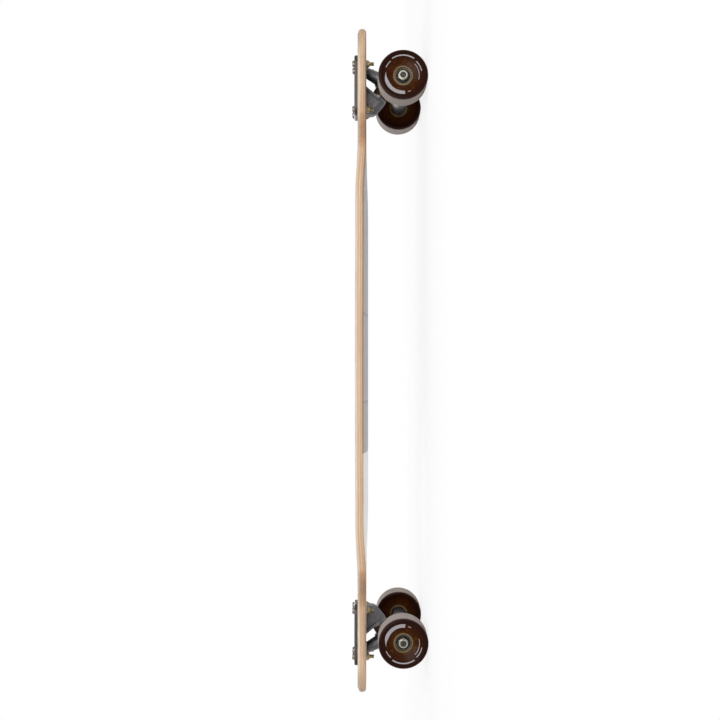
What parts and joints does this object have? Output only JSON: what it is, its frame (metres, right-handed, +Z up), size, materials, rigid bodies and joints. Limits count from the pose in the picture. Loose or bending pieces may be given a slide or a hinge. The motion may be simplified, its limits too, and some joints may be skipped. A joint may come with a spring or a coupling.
{
  "type": "longboard skateboard",
  "caption": "Drop-through longboard: concave wooden deck with wheel cut-outs, kingpin trucks that steer on bushings, and soft wheels on ball bearings.",
  "frame": {"origin": "on the ground, under the middle of the board", "axes": "+X towards the nose (riding direction), +Y to the rider's left, +Z up"},
  "size_m": [0.9274, 0.25, 0.1007],
  "materials": {
    "deck_wood": "laminated wood, clear lacquer",
    "clear_grit": "clear grit sheet over wood",
    "truck_casting": "satin grey casting",
    "cup_urethane": "matt",
    "bolt_steel": "plated steel",
    "yellow_zinc": "yellow zinc plating",
    "bright_zinc": "bright zinc plating",
    "bushing_urethane": "amber brown urethane",
    "wheel_urethane": "translucent dark brown urethane",
    "wheel_core": "amber core",
    "bearing_steel": "polished steel",
    "cage_plastic": "moulded"
  },
  "bodies": {
    "board": {"deck": "deck_wood", "grip_sheet": "clear_grit", "front_baseplate": "truck_casting", "front_pivot_cup": "cup_urethane", "front_kingpin": "bolt_steel", "front_kingpin_nut": "bolt_steel", "front_boardside_bushing": "bushing_urethane", "front_roadside_bushing": "bushing_urethane", "front_bushing_washers": "bolt_steel", "front_mounting_bolts": "bolt_steel", "front_mounting_nuts": "yellow_zinc", "rear_baseplate": "truck_casting", "rear_pivot_cup": "cup_urethane", "rear_kingpin": "bolt_steel", "rear_kingpin_nut": "bolt_steel", "rear_boardside_bushing": "bushing_urethane", "rear_roadside_bushing": "bushing_urethane", "rear_bushing_washers": "bolt_steel", "rear_mounting_bolts": "bolt_steel", "rear_mounting_nuts": "yellow_zinc"},
    "front_hanger": {"front_hanger": "truck_casting", "front_axle": "bolt_steel", "front_axle_nuts": "bright_zinc", "front_speed_washers": "bright_zinc", "front_left_bearing_inner_rings": "bearing_steel", "front_left_bearing_spacer": "bright_zinc", "front_right_bearing_inner_rings": "bearing_steel", "front_right_bearing_spacer": "bright_zinc"},
    "front_left_wheel": {"front_left_tyre": "wheel_urethane", "front_left_core": "wheel_core", "front_left_bearing_outer_rings": "bearing_steel", "front_left_bearing_shields": "bearing_steel"},
    "front_left_ball_sets": {"front_left_bearing_balls": "bearing_steel", "front_left_bearing_cages": "cage_plastic"},
    "front_right_wheel": {"front_right_tyre": "wheel_urethane", "front_right_core": "wheel_core", "front_right_bearing_outer_rings": "bearing_steel", "front_right_bearing_shields": "bearing_steel"},
    "front_right_ball_sets": {"front_right_bearing_balls": "bearing_steel", "front_right_bearing_cages": "cage_plastic"},
    "rear_hanger": {"rear_hanger": "truck_casting", "rear_axle": "bolt_steel", "rear_axle_nuts": "bright_zinc", "rear_speed_washers": "bright_zinc", "rear_left_bearing_inner_rings": "bearing_steel", "rear_left_bearing_spacer": "bright_zinc", "rear_right_bearing_inner_rings": "bearing_steel", "rear_right_bearing_spacer": "bright_zinc"},
    "rear_left_wheel": {"rear_left_tyre": "wheel_urethane", "rear_left_core": "wheel_core", "rear_left_bearing_outer_rings": "bearing_steel", "rear_left_bearing_shields": "bearing_steel"},
    "rear_left_ball_sets": {"rear_left_bearing_balls": "bearing_steel", "rear_left_bearing_cages": "cage_plastic"},
    "rear_right_wheel": {"rear_right_tyre": "wheel_urethane", "rear_right_core": "wheel_core", "rear_right_bearing_outer_rings": "bearing_steel", "rear_right_bearing_shields": "bearing_steel"},
    "rear_right_ball_sets": {"rear_right_bearing_balls": "bearing_steel", "rear_right_bearing_cages": "cage_plastic"}
  },
  "joints": [
    {"name": "front_steer", "type": "hinge", "parent": "board", "child": "front_hanger", "pos_m": [0.382, 0, 0.05264], "axis": [0.6428, 0, 0.766], "range_deg": [-20, 20], "stiffness_Nm_per_rad": 45, "deforming": ["front_boardside_bushing", "front_roadside_bushing"]},
    {"name": "front_left_spin", "type": "hinge", "parent": "front_hanger", "child": "front_left_wheel", "pos_m": [0.37335, 0.103, 0.033], "axis": [0, 1, 0], "continuous": true},
    {"name": "front_left_ball_run", "type": "hinge", "parent": "front_hanger", "child": "front_left_ball_sets", "pos_m": [0.37335, 0.103, 0.033], "axis": [0, 1, 0], "continuous": true},
    {"name": "front_right_spin", "type": "hinge", "parent": "front_hanger", "child": "front_right_wheel", "pos_m": [0.37335, -0.103, 0.033], "axis": [0, 1, 0], "continuous": true},
    {"name": "front_right_ball_run", "type": "hinge", "parent": "front_hanger", "child": "front_right_ball_sets", "pos_m": [0.37335, -0.103, 0.033], "axis": [0, 1, 0], "continuous": true},
    {"name": "rear_steer", "type": "hinge", "parent": "board", "child": "rear_hanger", "pos_m": [-0.382, 0, 0.05264], "axis": [-0.6428, 0, 0.766], "range_deg": [-20, 20], "stiffness_Nm_per_rad": 45, "deforming": ["rear_boardside_bushing", "rear_roadside_bushing"]},
    {"name": "rear_left_spin", "type": "hinge", "parent": "rear_hanger", "child": "rear_left_wheel", "pos_m": [-0.37335, 0.103, 0.033], "axis": [0, 1, 0], "continuous": true},
    {"name": "rear_left_ball_run", "type": "hinge", "parent": "rear_hanger", "child": "rear_left_ball_sets", "pos_m": [-0.37335, 0.103, 0.033], "axis": [0, 1, 0], "continuous": true},
    {"name": "rear_right_spin", "type": "hinge", "parent": "rear_hanger", "child": "rear_right_wheel", "pos_m": [-0.37335, -0.103, 0.033], "axis": [0, 1, 0], "continuous": true},
    {"name": "rear_right_ball_run", "type": "hinge", "parent": "rear_hanger", "child": "rear_right_ball_sets", "pos_m": [-0.37335, -0.103, 0.033], "axis": [0, 1, 0], "continuous": true}
  ],
  "couplings": [
    {"joint": "front_left_ball_run", "follows": "front_left_spin", "ratio": 0.63233},
    {"joint": "front_right_ball_run", "follows": "front_right_spin", "ratio": 0.63233},
    {"joint": "rear_left_ball_run", "follows": "rear_left_spin", "ratio": 0.63233},
    {"joint": "rear_right_ball_run", "follows": "rear_right_spin", "ratio": 0.63233}
  ]
}
